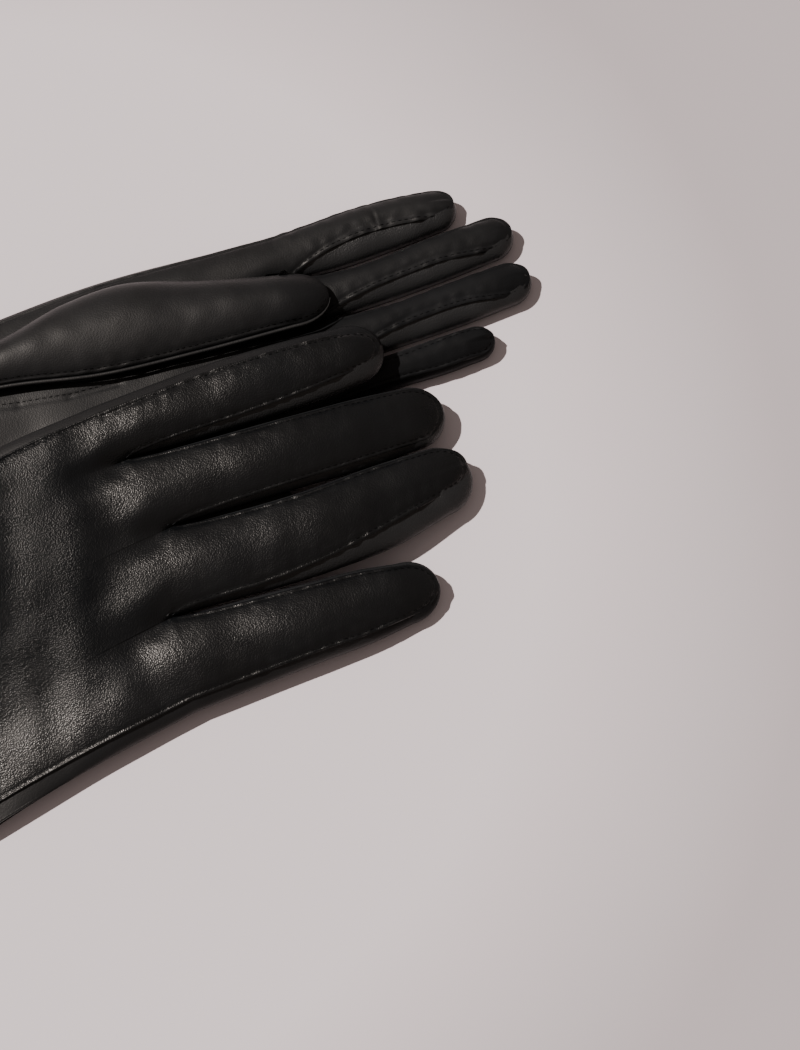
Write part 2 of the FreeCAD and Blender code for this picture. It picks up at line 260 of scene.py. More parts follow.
HAND_ROWS = 168
CUFF_ROWS = 3              # rows at the cuff that the seams leave free
ROW_STEP = 0.65
COLUMNS = 34
TIP_COLUMNS = 18
BEND_HEIGHT = 4.0          # of a joint, where the finger's own table gives none
STRIP_STEPS = 8            # faces from a side strip's middle to each of its edges
FOURCHETTE_START = 9.0     # distance over which a slit opens to its full width
VALLEY_REACH = 34.0        # how far the valley at a crotch runs back into the hand


def local_axes(finger):
    angle = math.radians(finger["heading"])
    return np.array([math.cos(angle), math.sin(angle)]), np.array([-math.sin(angle), math.cos(angle)])


def to_local(finger, points):
    along, left = local_axes(finger)
    away = np.asarray(points, float) - np.array(finger["bend"], float)
    return np.stack([away @ along, away @ left], -1)


def to_plan(finger, s, lateral):
    along, left = local_axes(finger)
    s, lateral = np.broadcast_arrays(s, lateral)
    lateral = lateral + finger.get("sway", 0.0) * ease(s, -5, finger["length"] + 10) * 1.3
    return np.array(finger["bend"], float) + s[..., None] * along + lateral[..., None] * left


def hand_border(glove, k, t):
    """Line k of the five that run from the cuff to the crotches, as plan points."""
    little, index = path(glove["little_side"]), path(glove["index_side"])
    if k == 0:
        return little(t)
    if k == 4:
        return index(t)
    ends = np.array([0.0, 1.0])
    little_ends, index_ends = little(ends), index(ends)
    start = little_ends[0] + (index_ends[0] - little_ends[0]) * k / 4
    end = np.array(glove["crotches"][::-1][k - 1], float)
    u = t[:, None]
    bow_low = little(t) - little_ends[0] - (little_ends[1] - little_ends[0]) * u
    bow_high = index(t) - index_ends[0] - (index_ends[1] - index_ends[0]) * u
    return start + (end - start) * u + bow_low * (1 - k / 4) + bow_high * k / 4


def finger_form(glove, name):
    """A finger's silhouette, heights and start, as plain functions of distance along it."""
    finger = glove[name]
    i = UPWARDS.index(name)
    crotches = glove["crotches"][::-1]
    low_start = glove["little_side"][-1] if i == 0 else crotches[i - 1]
    high_start = glove["index_side"][-1] if i == 3 else crotches[i]
    low0, high0 = to_local(finger, low_start), to_local(finger, high_start)
    upper = glove["thickness"] - glove["middle_height"]
    length = finger["length"]
    return {"finger": finger, "low0": low0[0], "high0": high0[0],
            "low": smooth([(low0[0], -low0[1])] + finger["low_widths"]),
            "high": smooth([(high0[0], high0[1])] + finger["high_widths"]),
            "length": length, "cap": finger["cap"], "open_low": i == 0, "open_high": i == 3,
            "upper": lambda a: upper * (1 - 0.12 * ease(a, 0, length)),
            "lower": level(glove["middle_height"]), "middle": level(glove["middle_height"]),
            "roll": lambda a, side: finger.get("roll", 0.0) * side * ease(a, -20, 5)}


def insets(glove, name, top):
    """How far a panel's cut edge lies inside the silhouette: little side, index side, tip.

    The two sides are functions of distance along the finger.
    """
    if not top:
        return level(LOWER_INSET), level(LOWER_INSET), 1.0
    low, high, tip = glove[name]["insets"]
    return smooth(low), smooth(high), tip


def side_inset(form, high, a, inset):
    """Distance from the silhouette to a panel's edge along one side of a finger."""
    start = form["high0"] if high else form["low0"]
    if form["open_high"] if high else form["open_low"]:
        return inset(a)
    return inset(a) * (1 - np.exp(-np.clip(a - start, 0, None) / FOURCHETTE_START))


def finger_rows(form, edge):
    """Grid of a finger's panel: plan points and how round the section is at each."""
    inset_low, inset_high, inset_tip = edge
    q = np.sin(np.linspace(-math.pi / 2, math.pi / 2, COLUMNS + 1))
    v = (q + 1) / 2
    length = form["length"] - inset_tip
    cap = form["cap"] - 0.4 * inset_tip
    rows = int(round((length - min(form["low0"], form["high0"])) / ROW_STEP))
    r = np.linspace(0, 1, rows + 1)[:, None]
    s_low = form["low0"] + (length - form["low0"]) * r
    s_high = form["high0"] + (length - form["high0"]) * r
    pulled = cap * ease((s_low + s_high) / 2, length - 2.2 * cap, length)
    a_low, a_high = s_low - pulled, s_high - pulled
    d_low = side_inset(form, False, a_low, inset_low)
    d_high = side_inset(form, True, a_high, inset_high)
    s = s_low * (1 - v) + s_high * v
    a = s - pulled * (1 - np.sqrt(np.clip(1 - q * q, 0, 1)))
    lateral = (d_low - form["low"](a_low)) * (1 - v) + (form["high"](a_high) - d_high) * v
    k_low = 1 - d_low / form["low"](a_low)
    k_high = 1 - d_high / form["high"](a_high)
    if not form["open_low"]:
        k_low = np.minimum(k_low, CROTCH_FLATNESS)
    if not form["open_high"]:
        k_high = np.minimum(k_high, CROTCH_FLATNESS)
    tau = np.clip((s - (length - 1.4 * cap)) / (1.4 * cap), 0, 1)
    k = np.where(q < 0, k_low, k_high) * (1 - tau) + (1 - inset_tip / form["cap"]) * tau
    rho = k * np.sqrt(1 - (1 - q * q) * (1 - tau * tau))
    half = np.where(q < 0, form["low"](a_low) - d_low, form["high"](a_high) - d_high)
    from_edge = np.minimum((1 - np.abs(q)) * half, length - s)
    return {"xy": to_plan(form["finger"], a, lateral), "rho": rho, "a": a, "from_edge": from_edge, "q": q}


def outer_inset(form, border, inset):
    """The inset of a panel's edge along the outer side of the hand."""
    return inset(to_local(form["finger"], border)[:, 0])


def edge_radius(finger_radius, back):
    """Radius of the hand's outer edge, which takes the finger's own where the finger starts."""
    return HAND_EDGE_RADIUS + (finger_radius - HAND_EDGE_RADIUS) * ease(-back, -EDGE_BLEND, 0)


def hand_rows(glove, name, form, edge, first_row):
    """Grid of the hand's part of one finger's strip, from the cuff to the crotch row."""
    i = UPWARDS.index(name)
    q = first_row["q"]
    v = (q + 1) / 2
    t = np.linspace(0, 1, HAND_ROWS + 1)
    low, high = hand_border(glove, i, t), hand_border(glove, i + 1, t)
    if i == 0:
        low[:, 1] += outer_inset(form, low, edge[0])
    if i == 3:
        high[:, 1] -= outer_inset(form, high, edge[1])
    xy = low[:, None] * (1 - v)[None, :, None] + high[:, None] * v[None, :, None]
    xy[-1] = first_row["xy"][0]
    middle = xy[:, COLUMNS // 2]
    back = np.linalg.norm(middle - middle[-1], axis=1)[:, None]
    fade = 1 - ease(back, 0, VALLEY_REACH)
    soft = ease(back, 0, 7)
    aq = np.abs(q)[None]
    inner = (aq * (1 - soft) + np.sin(aq * math.pi / 2) ** 2 * soft) * fade
    rho = {}
    for side, k, is_outer, radius in (("low", 0, i == 0, form["low"](form["low0"])),
                                      ("high", 1, i == 3, form["high"](form["high0"]))):
        d = outer_inset(form, hand_border(glove, i + k, t), edge[k])[:, None]
        rho[side] = (1 - d / edge_radius(radius, back)) * aq if is_outer else CROTCH_FLATNESS * inner
    rho = np.where(q < 0, rho["low"], rho["high"])
    half = np.linalg.norm(high - low, axis=1)[:, None] / 2
    outer = np.where(q < 0, i == 0, i == 3)
    return {"xy": xy, "rho": rho, "a": np.full(rho.shape, IN_HAND),
            "from_edge": np.where(outer, (1 - aq) * half, NO_EDGE)}


def seam_pucker(from_edge, x, y, seed, unevenness=0.18):
    """The dip that a row of stitches pulls, and the uneven leather beside it."""
    line = np.exp(-((from_edge - STITCH_INSET) / 0.4) ** 2)
    rolled = np.exp(-((from_edge - 0.35) / 0.38) ** 2)
    beside = np.exp(-np.clip(from_edge, 0, None) / 2.6)
    return 0.20 * rolled - 0.18 * line + unevenness * beside * ripple(x, y, seed, 5.0, 14)


def rotated(y, z):
    """The right glove's tilt, which rests its index side on the left glove."""
    return y * math.cos(TILT) - z * math.sin(TILT), y * math.sin(TILT) + z * math.cos(TILT)


def hang(form, s):
    """How far a finger hangs below the plane of its hand."""
    droop = math.radians(form["finger"].get("droop", 0))
    start = min(form["low0"], form["high0"])
    curve = lambda u: (np.sqrt(u * u + 64.0) + u) / 2
    curl = form["finger"].get("curl", 0.0) * ease(s, -10, form["length"] + 25) * 1.35
    return math.tan(droop) * np.clip(curve(np.maximum(s, start)) - curve(start), 0, None) + curl


def tilt_and_shift(glove, points):
    """From the glove's own flat position to the row frame, in metres."""
    p = np.array(points, float)
    if glove["side"] == "right":
        y = p[..., 1] - TILT_LINE_Y
        sag = 0.75 * math.tan(TILT) * np.clip(y, 0, None) * (1 - ease(p[..., 1], -45, -5))
        z = p[..., 2] - sag * ease(p[..., 0], -150, -85)
        y, p[..., 2] = rotated(y, z)
        p[..., 1] = TILT_LINE_Y + y
    return (p + np.array([SHIFT_X, SHIFT_Y, 0.0])) * MM


def row_at(column, distance):
    """The row of a grid whose point in this column is nearest to a distance along the finger."""
    return int(np.argmin(np.abs(column - distance)))


def grid_faces(grid, flip):
    """A grid's points, and its quads as numbers of those points."""
    return grid.reshape(-1, 3), quads_of(np.arange(grid[..., 0].size).reshape(grid.shape[:2]), flip)


def quads_of(index, flip):
    """The quads between the points whose numbers a grid holds."""
    quads = np.stack([index[:-1, :-1], index[1:, :-1], index[1:, 1:], index[:-1, 1:]], -1).reshape(-1, 4)
    return quads[:, ::-1] if flip else quads


def panel_grid(glove, name, top):
    """One finger's panel with its share of the hand: its grid, its cut row, its tip seam's row."""
    form = finger_form(glove, name)
    edge = insets(glove, name, top)
    finger = finger_rows(form, edge)
    hand = hand_rows(glove, name, form, edge, finger)
    xy = np.concatenate([hand["xy"], finger["xy"][1:]])
    rho = np.concatenate([hand["rho"][:-1], finger["rho"]])
    a = np.concatenate([hand["a"][:-1], finger["a"]])
    from_edge = np.concatenate([hand["from_edge"], finger["from_edge"][1:]])
    x, y = xy[..., 0], xy[..., 1]
    if top:
        g = crown(rho, TOP_POWER)
        z = form["middle"](a) + form["upper"](a) * g + top_relief(glove, x, y) * g
        z += form["roll"](a, np.sign(finger["q"]) * rho * (np.abs(finger["q"]) > 0)) * g
        if name == "index" and glove["palm_up"]:
            z += 0.08 * np.exp(-((a - TIP_PANEL_START - 1.0) / 0.6) ** 2)
            z -= 0.20 * np.exp(-((a - TIP_PANEL_START) / 0.55) ** 2)
        z += seam_pucker(from_edge, x, y, 21 if glove["side"] == "right" else 31,
                         0.06 + 0.13 * ease(a, -60, -5))
    else:
        z = form["middle"](a) - form["lower"](a) * crown(rho, BOTTOM_POWER)
    z = z - hang(form, a)
    middle = finger["a"][:, COLUMNS // 2]
    return (np.concatenate([xy, z[..., None]], -1), HAND_ROWS + row_at(middle, form["finger"]["cut"]),
            HAND_ROWS + row_at(middle, TIP_PANEL_START))


class Comb:
    """The upper or lower face of a glove: one sheet in the hand that parts into fingers.

    Each face has the number of the finger it belongs to, or -1 in the hand, and says whether
    it lies beyond the index finger's cross seam.
    """

    def __init__(self, glove, top):
        self.top = top
        self.grids, self.cuts = {}, {}
        points, faces, labels, beyond_tip_seam = [], [], [], []
        count, previous = 0, None
        for i, name in enumerate(UPWARDS):
            grid, cut, seam_row = panel_grid(glove, name, top)
            index = np.arange(grid[..., 0].size).reshape(grid.shape[:2]) + count
            count += index.size
            if previous is not None:
                index[:HAND_ROWS + 1, 0] = previous[:HAND_ROWS + 1, -1]
            row = np.repeat(np.arange(len(grid) - 1), grid.shape[1] - 1)
            points.append(grid.reshape(-1, 3))
            faces.append(quads_of(index, not top))
            labels.append(np.where(row >= cut, i, -1))
            beyond_tip_seam.append((row >= seam_row) & (name == "index"))
            self.grids[name], self.cuts[name] = grid, cut
            previous = index
        self.points, self.faces = np.concatenate(points), np.concatenate(faces)
        self.labels, self.beyond_tip_seam = np.concatenate(labels), np.concatenate(beyond_tip_seam)


def side_strip(glove, form, name, high, hand_part, top_edge, relief=True):
    """The leather that stands between the upper and lower panels along one side.

    Returns its grid, which runs from its start to the middle of the fingertip and from
    the upper panel's edge down to the lower panel's edge, and its cut row.
    """
    finger = form["finger"]
    inset, inset_tip = top_edge
    length, cap = form["length"], form["cap"]
    start = form["high0"] if high else form["low0"]
    width = form["high"] if high else form["low"]
    sign = 1.0 if high else -1.0
    rows = int(round((length - start) / ROW_STEP))
    a = start + (length - cap - start) * np.linspace(0, 1, rows + 1)
    side = to_plan(finger, a, sign * width(a))
    angle = np.linspace(0, math.pi / 2, TIP_COLUMNS + 1)[1:]
    tip_a = length - cap + cap * np.sin(angle)
    middle_of_tip = (form["high"](length - cap) - form["low"](length - cap)) / 2
    half_of_tip = (form["high"](length - cap) + form["low"](length - cap)) / 2
    tip = to_plan(finger, tip_a, middle_of_tip + sign * half_of_tip * np.cos(angle))
    d = side_inset(form, high, a, inset)
    turn = np.sin(angle)
    d = np.concatenate([d, d[-1] * np.cos(angle) + inset_tip * turn])
    radius = np.concatenate([width(a), width(length - cap) * (1 - turn) + cap * turn])
    along = np.concatenate([a, tip_a])
    s = along
    outline = np.concatenate([side, tip])
    if hand_part is not None:
        outline = np.concatenate([hand_part[:-1], outline])
        near = np.linalg.norm(hand_part - hand_part[-1], axis=1)[:-1]
        d = np.concatenate([outer_inset(form, hand_part[:-1], inset), d])
        radius = np.concatenate([edge_radius(radius[0], near), radius])
        s = np.concatenate([np.full(len(near), IN_HAND), s])
        along = np.concatenate([np.full(len(near), start), along])
    tangent = unit(np.gradient(outline, axis=0))
    outward = sign * np.stack([-tangent[:, 1], tangent[:, 0]], -1)
    if hand_part is None and name != "thumb":
        forward = local_axes(finger)[0]
        turn_in = ease(np.arange(len(outline)) * ROW_STEP, 0, 2.4)[:, None]
        outward = unit(forward * (1 - turn_in) + outward * turn_in)
    middle, upper, lower = form["middle"](along), form["upper"](along), form["lower"](along)
    u = np.linspace(0, 1, STRIP_STEPS + 1)
    upper_in = np.clip((d + LAP) / radius, 0, 0.9)[:, None] * (1 - u) ** 2
    lower_in = np.clip((LOWER_INSET + LAP) / radius, 0, 0.9)[:, None] * u[1:] ** 2
    inward = np.concatenate([upper_in, lower_in], 1)
    heights = np.concatenate([middle[:, None] + upper[:, None] * crown(1 - upper_in, TOP_POWER),
                              middle[:, None] - lower[:, None] * crown(1 - lower_in, BOTTOM_POWER)], 1)
    xy = outline[:, None] - outward[:, None] * (inward * radius[:, None])[..., None]
    if relief:
        share = np.clip((heights - middle[:, None]) / upper[:, None], 0, 1)
        heights = heights + top_relief(glove, xy[..., 0], xy[..., 1]) * share
        heights = heights + form["roll"](along[:, None], sign * (1 - inward)) * share
    heights = heights - hang(form, s)[:, None]
    return np.concatenate([xy, heights[..., None]], -1), row_at(s, finger["cut"])


# ---------------------------------------------------------------- meshes

def vertex_normals(points, faces):
    diagonal_a = points[faces[:, 2]] - points[faces[:, 0]]
    diagonal_b = points[faces[:, 3]] - points[faces[:, 1]]
    normal = np.cross(diagonal_a, diagonal_b)
    total = np.zeros_like(points)
    for corner in range(4):
        np.add.at(total, faces[:, corner], normal)
    return total / np.maximum(np.linalg.norm(total, axis=1), 1e-12)[:, None]


def shell(points, faces, normals, depth, thickness):
    """A closed skin: the faces sunk by depth, the same again below them, and a rim."""
    used, flat = np.unique(faces, return_inverse=True)
    faces = flat.reshape(faces.shape)
    points, normals = points[used], normals[used]
    outer = points - normals * depth
    inner = points - normals * (depth + thickness)
    n = len(points)
    edges = np.concatenate([faces[:, [i, (i + 1) % 4]] for i in range(4)])
    key = np.sort(edges, axis=1)
    _, position, counts = np.unique(key, axis=0, return_index=True, return_counts=True)
    border = edges[position[counts == 1]]
    rim = np.stack([border[:, 1], border[:, 0], border[:, 0] + n, border[:, 1] + n], -1)
    all_points = np.concatenate([outer, inner])
    all_faces = np.concatenate([faces, faces[:, ::-1] + n, rim])
    corner_normals = np.concatenate([normals[faces].reshape(-1, 3),
                                     -normals[faces[:, ::-1]].reshape(-1, 3),
                                     rim_normals(all_points, rim)])
    return all_points, all_faces, corner_normals


def rim_normals(points, rim):
    normal = np.cross(points[rim[:, 2]] - points[rim[:, 0]], points[rim[:, 3]] - points[rim[:, 1]])
    normal /= np.maximum(np.linalg.norm(normal, axis=1), 1e-12)[:, None]
    return np.repeat(normal, 4, axis=0)


def merged(parts):
    """One set of points, faces and corner normals from several."""
    points, faces, normals = zip(*parts)
    starts = np.cumsum([0] + [len(p) for p in points[:-1]])
    faces = [f + start for f, start in zip(faces, starts)]
    return np.concatenate(points), np.concatenate(faces), np.concatenate(normals)


def turned(glove, normals):
    """Normals of the glove's flat position, as they stand in the row frame."""
    result = normals.copy()
    if glove["side"] == "right":
        result[:, 1], result[:, 2] = rotated(normals[:, 1], normals[:, 2])
    return result


def cut_shells(grid, flip, cut, depth):
    """A grid's leather in two closed skins, the hand's rows and the rows from the cut on."""
    points, faces = grid_faces(grid, flip)
    normals = vertex_normals(points, faces)
    split = cut * (grid.shape[1] - 1)
    return [shell(points, part, normals, depth, LEATHER) for part in (faces[:split], faces[split:])]


def lining_shell(grid, flip, first, last):
    """A closed skin of lining under some rows of a grid."""
    return grid_shell(grid, flip, (first, last), LINING_DEPTH, LINING, LINING_STRIDE)


def grid_shell(grid, flip, rows, depth, thickness, stride=1):
    """A closed skin from some rows of a grid."""
    points, faces = grid_faces(grid[rows[0]:rows[1] + 1:stride, ::stride], flip)
    return shell(points, faces, vertex_normals(points, faces), depth, thickness)


def tube_faces(rings, sides):
    """Faces of a closed tube with the same number of points in each ring, flat at its ends."""
    faces = []
    for r in range(rings - 1):
        for k in range(sides):
            a, b = r * sides + k, r * sides + (k + 1) % sides
            faces.append((a, b, b + sides, a + sides))
    last = (rings - 1) * sides
    for k in range(1, sides - 1, 2):
        faces += [(k + 2, k + 1, k, 0), (last + k, last + k + 1, last + k + 2, last)]
    return np.array(faces)


def make_piece(glove, name, parts, material):
    """A Blender object from one or more closed skins given in the glove's flat position."""
    points, faces, normals = merged(parts)
    placed = tilt_and_shift(glove, points)
    mesh = bpy.data.meshes.new(name)
    mesh.vertices.add(len(placed))
    mesh.vertices.foreach_set("co", placed.astype(np.float32).ravel())
    mesh.loops.add(faces.size)
    mesh.loops.foreach_set("vertex_index", faces.astype(np.int32).ravel())
    mesh.polygons.add(len(faces))
    mesh.polygons.foreach_set("loop_start", np.arange(0, faces.size, 4, dtype=np.int32))
    mesh.polygons.foreach_set("loop_total", np.full(len(faces), 4, dtype=np.int32))
    mesh.update(calc_edges=True)
    mesh.polygons.foreach_set("use_smooth", np.ones(len(faces), dtype=bool))
    mesh.normals_split_custom_set(turned(glove, normals).tolist())
    rest = mesh.attributes.new("rest", "FLOAT_VECTOR", "POINT")
    rest.data.foreach_set("vector", (points * MM).astype(np.float32).ravel())
    mesh.materials.append(material)
    piece = bpy.data.objects.new(name, mesh)
    bpy.context.scene.collection.objects.link(piece)
    return piece


def attach(piece, glove, part):
    """Rides on the hand; a piece of a finger or thumb only has its transform baked into its mesh."""
    hand = glove["side"] + "_hand"
    if part == "hand":
        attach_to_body(piece, hand)
        return
    finger = glove[part]
    reach = finger["blend"]
    ends = to_plan(finger, np.array([-reach, reach], float), np.zeros(2))
    height = finger.get("bend_height", BEND_HEIGHT)
    placed = tilt_and_shift(glove, np.column_stack([ends, [height, height]]))
    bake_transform(piece)


def add_piece(glove, part, name, shells, material, replaced=None):
    """Makes a piece from closed skins, hides the CAD node that it replaces, and fastens it to the hand when
    its part is the hand.
    """
    side = glove["side"] + "_"
    piece = make_piece(glove, side + name, shells, material)
    if replaced:
        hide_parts(side + replaced)
    attach(piece, glove, part)


# ---------------------------------------------------------------- materials

DULL_SHARE = 0.36          # of the shine, left where the leather is dull


class Shading:
    """A material's nodes, which all lead to one principled shader."""

    def __init__(self, name):
        self.material = bpy.data.materials.new(name)
        self.material.use_nodes = True
        self.tree = self.material.node_tree
        self.tree.nodes.clear()
        self.shader = self.node("ShaderNodeBsdfPrincipled")
        self.node("ShaderNodeOutputMaterial", {"Surface": self.shader.outputs["BSDF"]})

    def node(self, kind, inputs=None, **settings):
        node = self.tree.nodes.new(kind)
        for key, value in settings.items():
            setattr(node, key, value)
        self.feed(node, inputs or {})
        return node

    def feed(self, node, inputs):
        """Sets a node's inputs, each to a constant or to another node's output."""
        for key, value in inputs.items():
            if isinstance(value, bpy.types.NodeSocket):
                self.tree.links.new(value, node.inputs[key])
            else:
                node.inputs[key].default_value = value

    def rest(self):
        """Where a point lies in the glove's flat position, so that grain stays on the leather."""
        return self.node("ShaderNodeAttribute", attribute_name="rest").outputs["Vector"]

    def noise(self, at, scale, detail):
        inputs = {"Vector": at, "Scale": scale, "Detail": detail, "Roughness": 0.55}
        return self.node("ShaderNodeTexNoise", inputs).outputs["Fac"]

    def remap(self, value, low, high, to_low, to_high):
        inputs = {"Value": value, "From Min": low, "From Max": high, "To Min": to_low, "To Max": to_high}
        return self.node("ShaderNodeMapRange", inputs).outputs["Result"]

    def combine(self, operation, a, b):
        return self.node("ShaderNodeMath", {0: a, 1: b}, operation=operation).outputs[0]

    def plus(self, a, b, share):
        return self.combine("ADD", a, self.combine("MULTIPLY", b, share))

    def bump(self, height, strength, distance):
        inputs = {"Height": height, "Strength": strength, "Distance": distance}
        return self.node("ShaderNodeBump", inputs).outputs["Normal"]

    def ramp(self, value, low_color, high_color, low=0.3, high=0.7):
        node = self.node("ShaderNodeValToRGB", {"Fac": value})
        for element, position, color in zip(node.color_ramp.elements, (low, high), (low_color, high_color)):
            element.position = position
            element.color = (*color, 1)
        return node.outputs["Color"]

    def finished(self, **inputs):
        """The material, with the shader's inputs given by name, words joined by underscores."""
        self.feed(self.shader, {key.replace("_", " "): value for key, value in inputs.items()})
        return self.material


def leather(name, dark, light, grain=0.75, roughness=(0.32, 0.44), specular=0.38, dulled=None):
    """Fine-grained dyed leather: pebbles about half a millimetre wide with creases between.

    Where dulled is given, the shine drops to DULL_SHARE as x and y run over its two spans,
    in metres in the glove's flat position.
    """
    use = Shading(name)
    at = use.rest()
    warp = use.node("ShaderNodeTexNoise", {"Vector": at, "Scale": 700.0, "Detail": 1.0})
    shift = use.node("ShaderNodeVectorMath", {0: warp.outputs["Color"], 1: (0.0005,) * 3, 2: at},
                     operation="MULTIPLY_ADD")
    cells = use.node("ShaderNodeTexVoronoi", {"Vector": shift.outputs[0], "Scale": 2100.0}, feature="F1")
    pebbles = use.remap(cells.outputs["Distance"], 0.1, 0.75, 1.0, 0.0)
    height = use.combine("MULTIPLY", pebbles, 0.55)
    height = use.plus(height, use.noise(at, 260.0, 4.0), 0.2)
    height = use.plus(height, use.noise(at, 3800.0, 2.0), 0.25)
    wear = use.remap(use.noise(at, 120.0, 5.0), 0.3, 0.7, *roughness)
    shine = specular
    if dulled:
        split = use.node("ShaderNodeSeparateXYZ", {0: at})
        shares = [use.remap(split.outputs[axis], *span, 0.0, 1.0) for axis, span in zip("XY", dulled)]
        shine = use.remap(use.combine("MULTIPLY", *shares), 0.0, 1.0, specular, DULL_SHARE * specular)
    return use.finished(Base_Color=use.ramp(use.noise(at, 45.0, 4.0), dark, light),
                        Normal=use.bump(height, grain, 0.00017),
                        Roughness=use.combine("SUBTRACT", wear, use.combine("MULTIPLY", pebbles, 0.06)),
                        Specular_IOR_Level=shine, Specular_Tint=(1.0, 0.945, 0.88, 1))


def knitted(name):
    """The lining: a fine black knit, seen only in the cuff."""
    use = Shading(name)
    wave = use.node("ShaderNodeTexWave", {"Vector": use.rest(), "Scale": 420.0, "Distortion": 1.5,
                                          "Detail Scale": 300.0}).outputs["Fac"]
    return use.finished(Base_Color=use.ramp(wave, (0.012, 0.012, 0.014), (0.05, 0.05, 0.055)),
                        Normal=use.bump(wave, 0.8, 0.0002), Roughness=0.95, Sheen_Weight=0.3)


def thread(name):
    """Black sewing thread with a fine twist."""
    use = Shading(name)
    strands = use.noise(use.rest(), 5000.0, 2.0)
    return use.finished(Base_Color=use.ramp(strands, (0.001,) * 3, (0.003,) * 3),
                        Normal=use.bump(strands, 0.5, 0.00008), Roughness=0.5, Specular_IOR_Level=0.12)


BLACK_LEATHER = leather("black_leather", (0.0021, 0.0025, 0.0030), (0.0038, 0.0044, 0.0051), grain=0.62,
                        roughness=(0.30, 0.40), specular=0.33,
                        dulled=((-0.076, -0.100), (-0.030, -0.004)))
# Painted sheen: the palm leather's base colour is lighter than the black leather's, to stand in for the
# hazy sheen on the palms.
PALM_LEATHER_PAINTED_SHEEN = leather("palm_leather", (0.0056, 0.0058, 0.0062), (0.0088, 0.0091, 0.0097), grain=0.28,
                       roughness=(0.42, 0.52), specular=0.28, dulled=((-0.03, 0.0), (0.100, 0.060)))
# Painted fill light: the side strips and fourchettes stand in shade, and this leather is lighter than the
# black leather to lift that shade.
STRIP_LEATHER_PAINTED_FILL = leather("strip_leather", (0.0110, 0.0114, 0.0120), (0.0160, 0.0166, 0.0174),
                        roughness=(0.36, 0.5))
# Painted highlight: the rolled seam's leather is lighter than the palm leather, so that the seam shows as a
# bright line.
ROLLED_LEATHER_PAINTED_HIGHLIGHT = leather("rolled_leather", (0.0090, 0.0092, 0.0096), (0.0130, 0.0133, 0.0138), grain=0.2,
                         roughness=(0.30, 0.38), specular=0.62)
TOUCH_LEATHER = leather("touch_leather", (0.0066, 0.0068, 0.0072), (0.0104, 0.0107, 0.0112), grain=0.2,
                        roughness=(0.44, 0.54), specular=0.26)
LINING_CLOTH = knitted("lining_knit")
THREAD = thread("sewing_thread")


# ---------------------------------------------------------------- thumbs

THUMB_TIP_INSET = 0.5
THUMB_LOWER_SHARE = 0.11   # of a thumb's height, the part below its widest line
LIP_COLUMN = 3             # of the seam strip, where the rolled seam lies
LIP_OFFSET = 0.55
LIP_RADIUS = 0.62
LIP_START = -50.0
LIP_TAPER_ROWS = 8
LIP_SIDES = 10


def thumb_form(glove):
    """The thumb's silhouette and heights, in the terms used for a finger."""
    thumb = glove["thumb"]
    lower, upper = to_local(thumb, thumb["lower"]), to_local(thumb, thumb["upper"])
    rise = smooth(thumb["rise"])
    start = lower[0][0]
    bed = lambda a: glove["thickness"] + THUMB_GAP - 1.4 * (1 - ease(a, start, start + 26))
    return {"finger": thumb, "low0": lower[0][0], "high0": upper[0][0],
            "low": smooth([(p[0], -p[1]) for p in lower]), "high": smooth(upper),
            "length": thumb["length"], "cap": thumb["cap"], "open_low": True, "open_high": True,
            "middle": lambda a: bed(a) + THUMB_LOWER_SHARE * rise(a),
            "upper": lambda a: (1 - THUMB_LOWER_SHARE) * rise(a),
            "lower": lambda a: THUMB_LOWER_SHARE * rise(a)}


def thumb_grids(glove):
    """Upper face, lower face and seam strip of a thumb, with the flip and cut of each."""
    form = thumb_form(glove)
    grids = []
    for upper, inset in ((True, THUMB_INSET), (False, LOWER_INSET)):
        rows = finger_rows(form, (level(inset), level(0), THUMB_TIP_INSET))
        x, y, a = rows["xy"][..., 0], rows["xy"][..., 1], rows["a"]
        if upper:
            g = crown(rows["rho"], TOP_POWER)
            z = form["middle"](a) + form["upper"](a) * g
            z += (0.16 * ripple(x, y, 51, 30) + 0.05 * ripple(x, y, 52, 11)) * g
            z += seam_pucker(np.where(rows["q"] < 0, rows["from_edge"], NO_EDGE), x, y, 57)
        else:
            z = form["middle"](a) - form["lower"](a) * crown(rows["rho"], BOTTOM_POWER)
        grids.append((np.concatenate([rows["xy"], z[..., None]], -1), not upper,
                      row_at(a[:, COLUMNS // 2], form["finger"]["cut"])))
    strip, cut = side_strip(glove, form, "thumb", False, None, (level(THUMB_INSET), THUMB_TIP_INSET),
                            relief=False)
    grids.append((strip, True, cut))
    if not glove["palm_up"]:
        for grid, _, _ in grids:
            grid[..., 2] = glove["thickness"] - grid[..., 2]
        grids = [(grid, not flip, cut) for grid, flip, cut in grids]
    return form, grids


def roll_skin(line, outward, taper):
    """A closed round skin along a line, which thins out at its far end where taper is set."""
    along = unit(np.gradient(line, axis=0))
    upward = unit(np.cross(along, outward))
    outward = np.cross(upward, along)
    size = np.full(len(line), LIP_RADIUS)
    if taper:
        last = len(line) - 1
        size = size * (0.15 + 0.85 * (1 - ease(np.arange(len(line)), last - LIP_TAPER_ROWS, last)))
    angle = 2 * math.pi * np.arange(LIP_SIDES)[None, :, None] / LIP_SIDES
    out = outward[:, None] * np.cos(angle) + upward[:, None] * np.sin(angle)
    points = (line[:, None] + out * size[:, None, None]).reshape(-1, 3)
    faces = tube_faces(len(line), LIP_SIDES)
    return points, faces, out.reshape(-1, 3)[faces].reshape(-1, 3)


